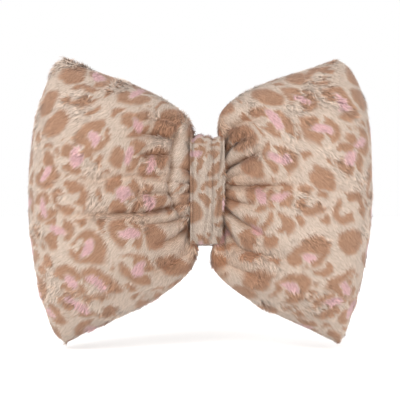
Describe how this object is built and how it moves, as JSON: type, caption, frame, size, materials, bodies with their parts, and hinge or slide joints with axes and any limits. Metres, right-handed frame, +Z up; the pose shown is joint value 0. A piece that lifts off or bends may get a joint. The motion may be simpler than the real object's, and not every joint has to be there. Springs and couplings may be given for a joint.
{
  "type": "spa headband",
  "caption": "Padded plush headband with a large stuffed bow tied on at the front by a wrap, and a ruched elastic nape that stretches over the head.",
  "frame": {"origin": "middle of the head opening, at half the band's height, with the elastic relaxed", "axes": "+Z up through the opening as the band is worn, -Y the way the bow faces, +X to the right as seen from in front of the bow"},
  "size_m": [0.25, 0.2393, 0.208],
  "materials": {
    "print_plush": "short-pile plush, cream with soft tan rings and pink centres",
    "knot_plush": "the same plush, pulled tight so that its tan base shows",
    "band_plush": "short-pile plush with the same print",
    "jersey": "soft cream knit",
    "fibre": "white polyester fibre",
    "elastic": "ribbed woven elastic",
    "thread": "matte sewing thread",
    "label_satin": "plain satin ribbon"
  },
  "bodies": {
    "band": {"band_cover": "band_plush", "band_wadding": "fibre", "band_lining": "jersey", "care_label": "label_satin", "bow_neck": "print_plush", "gathering_thread": "thread", "knot_wrap": "knot_plush", "wrap_stitches": "thread", "left_end_tack": "thread", "right_end_tack": "thread", "left_gathers": "band_plush", "right_gathers": "band_plush"},
    "nape": {"nape_tube": "band_plush", "nape_elastic": "elastic"},
    "left_lobe": {"left_front_panel": "print_plush", "left_back_panel": "print_plush", "left_stuffing": "fibre"},
    "right_lobe": {"right_front_panel": "print_plush", "right_back_panel": "print_plush", "right_stuffing": "fibre"}
  },
  "joints": [
    {"name": "nape_stretch", "type": "slide", "parent": "band", "child": "nape", "axis": [0, 1, 0], "range_m": [0, 0.035], "stiffness_N_per_m": 200, "deforming": ["left_gathers", "right_gathers", "nape_elastic"]},
    {"name": "left_lobe_flex", "type": "hinge", "parent": "band", "child": "left_lobe", "pos_m": [-0.0238, -0.1034, 0], "axis": [0, 0, 1], "range_deg": [-8, 25], "stiffness_Nm_per_rad": 0.05},
    {"name": "right_lobe_flex", "type": "hinge", "parent": "band", "child": "right_lobe", "pos_m": [0.0238, -0.1034, 0], "axis": [0, 0, -1], "range_deg": [-8, 25], "stiffness_Nm_per_rad": 0.05}
  ]
}
